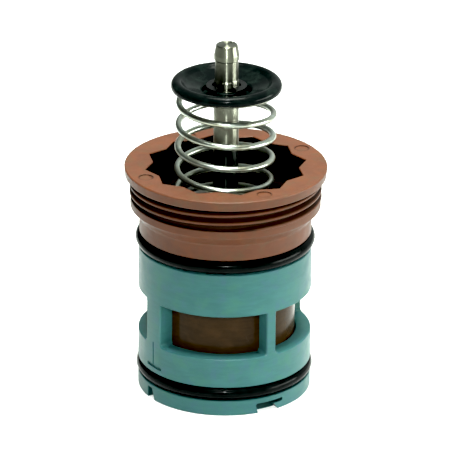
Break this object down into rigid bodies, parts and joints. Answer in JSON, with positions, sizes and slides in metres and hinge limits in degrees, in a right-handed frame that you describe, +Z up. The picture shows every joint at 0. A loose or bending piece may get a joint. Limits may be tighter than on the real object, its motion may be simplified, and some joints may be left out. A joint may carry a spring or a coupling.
{
  "type": "zone valve cartridge",
  "caption": "Valve cartridge with a threaded bonnet, ported cage and a sliding sleeve on a spring-returned stem, sealed by rubber rings, for a heating or cooling zone valve.",
  "frame": {"origin": "centre of the port cage's bottom face, on the valve axis", "axes": "+Z up the valve axis to the stem tip, -Y to the front of the picture, +X to its right"},
  "size_m": [0.0384, 0.0384, 0.0689],
  "materials": {
    "brown_plastic": "satin, fibre filled",
    "brown_sleeve": "semi gloss",
    "teal_plastic": "satin, fibre filled",
    "black_rubber": "smooth, lightly greased",
    "black_cap": "gloss",
    "bearing_plastic": "satin",
    "steel": "drawn, bright",
    "spring_steel": "drawn wire",
    "black_steel": "phosphated",
    "brass_nut": "turned"
  },
  "bodies": {
    "root": {"bonnet": "brown_plastic", "port_cage": "teal_plastic", "upper_o_ring": "black_rubber", "lower_o_ring": "black_rubber", "seat_seal": "black_rubber", "lip_seal": "black_rubber", "stem_seal_lower": "black_rubber", "stem_seal_upper": "black_rubber", "gland_bush": "bearing_plastic", "seal_spacer": "bearing_plastic", "gland_washer": "bearing_plastic", "gland_clip": "spring_steel", "spring_seat_washer": "spring_steel"},
    "spring_carrier": {"spring_cap": "black_cap", "return_spring": "spring_steel"},
    "valve_stem": {"stem": "steel", "cap_clip": "black_steel", "piston": "brown_sleeve", "piston_washer": "spring_steel", "lock_washer": "spring_steel", "piston_nut": "brass_nut"}
  },
  "joints": [
    {"name": "stem_slide", "type": "slide", "parent": "root", "child": "spring_carrier", "axis": [0, 0, -1], "range_m": [0, 0.0087], "stiffness_N_per_m": 900, "springref_m": -0.012, "deforming": ["return_spring"]},
    {"name": "stem_turn", "type": "hinge", "parent": "spring_carrier", "child": "valve_stem", "pos_m": [0, 0, 0.0608], "axis": [0, 0, 1], "continuous": true}
  ]
}
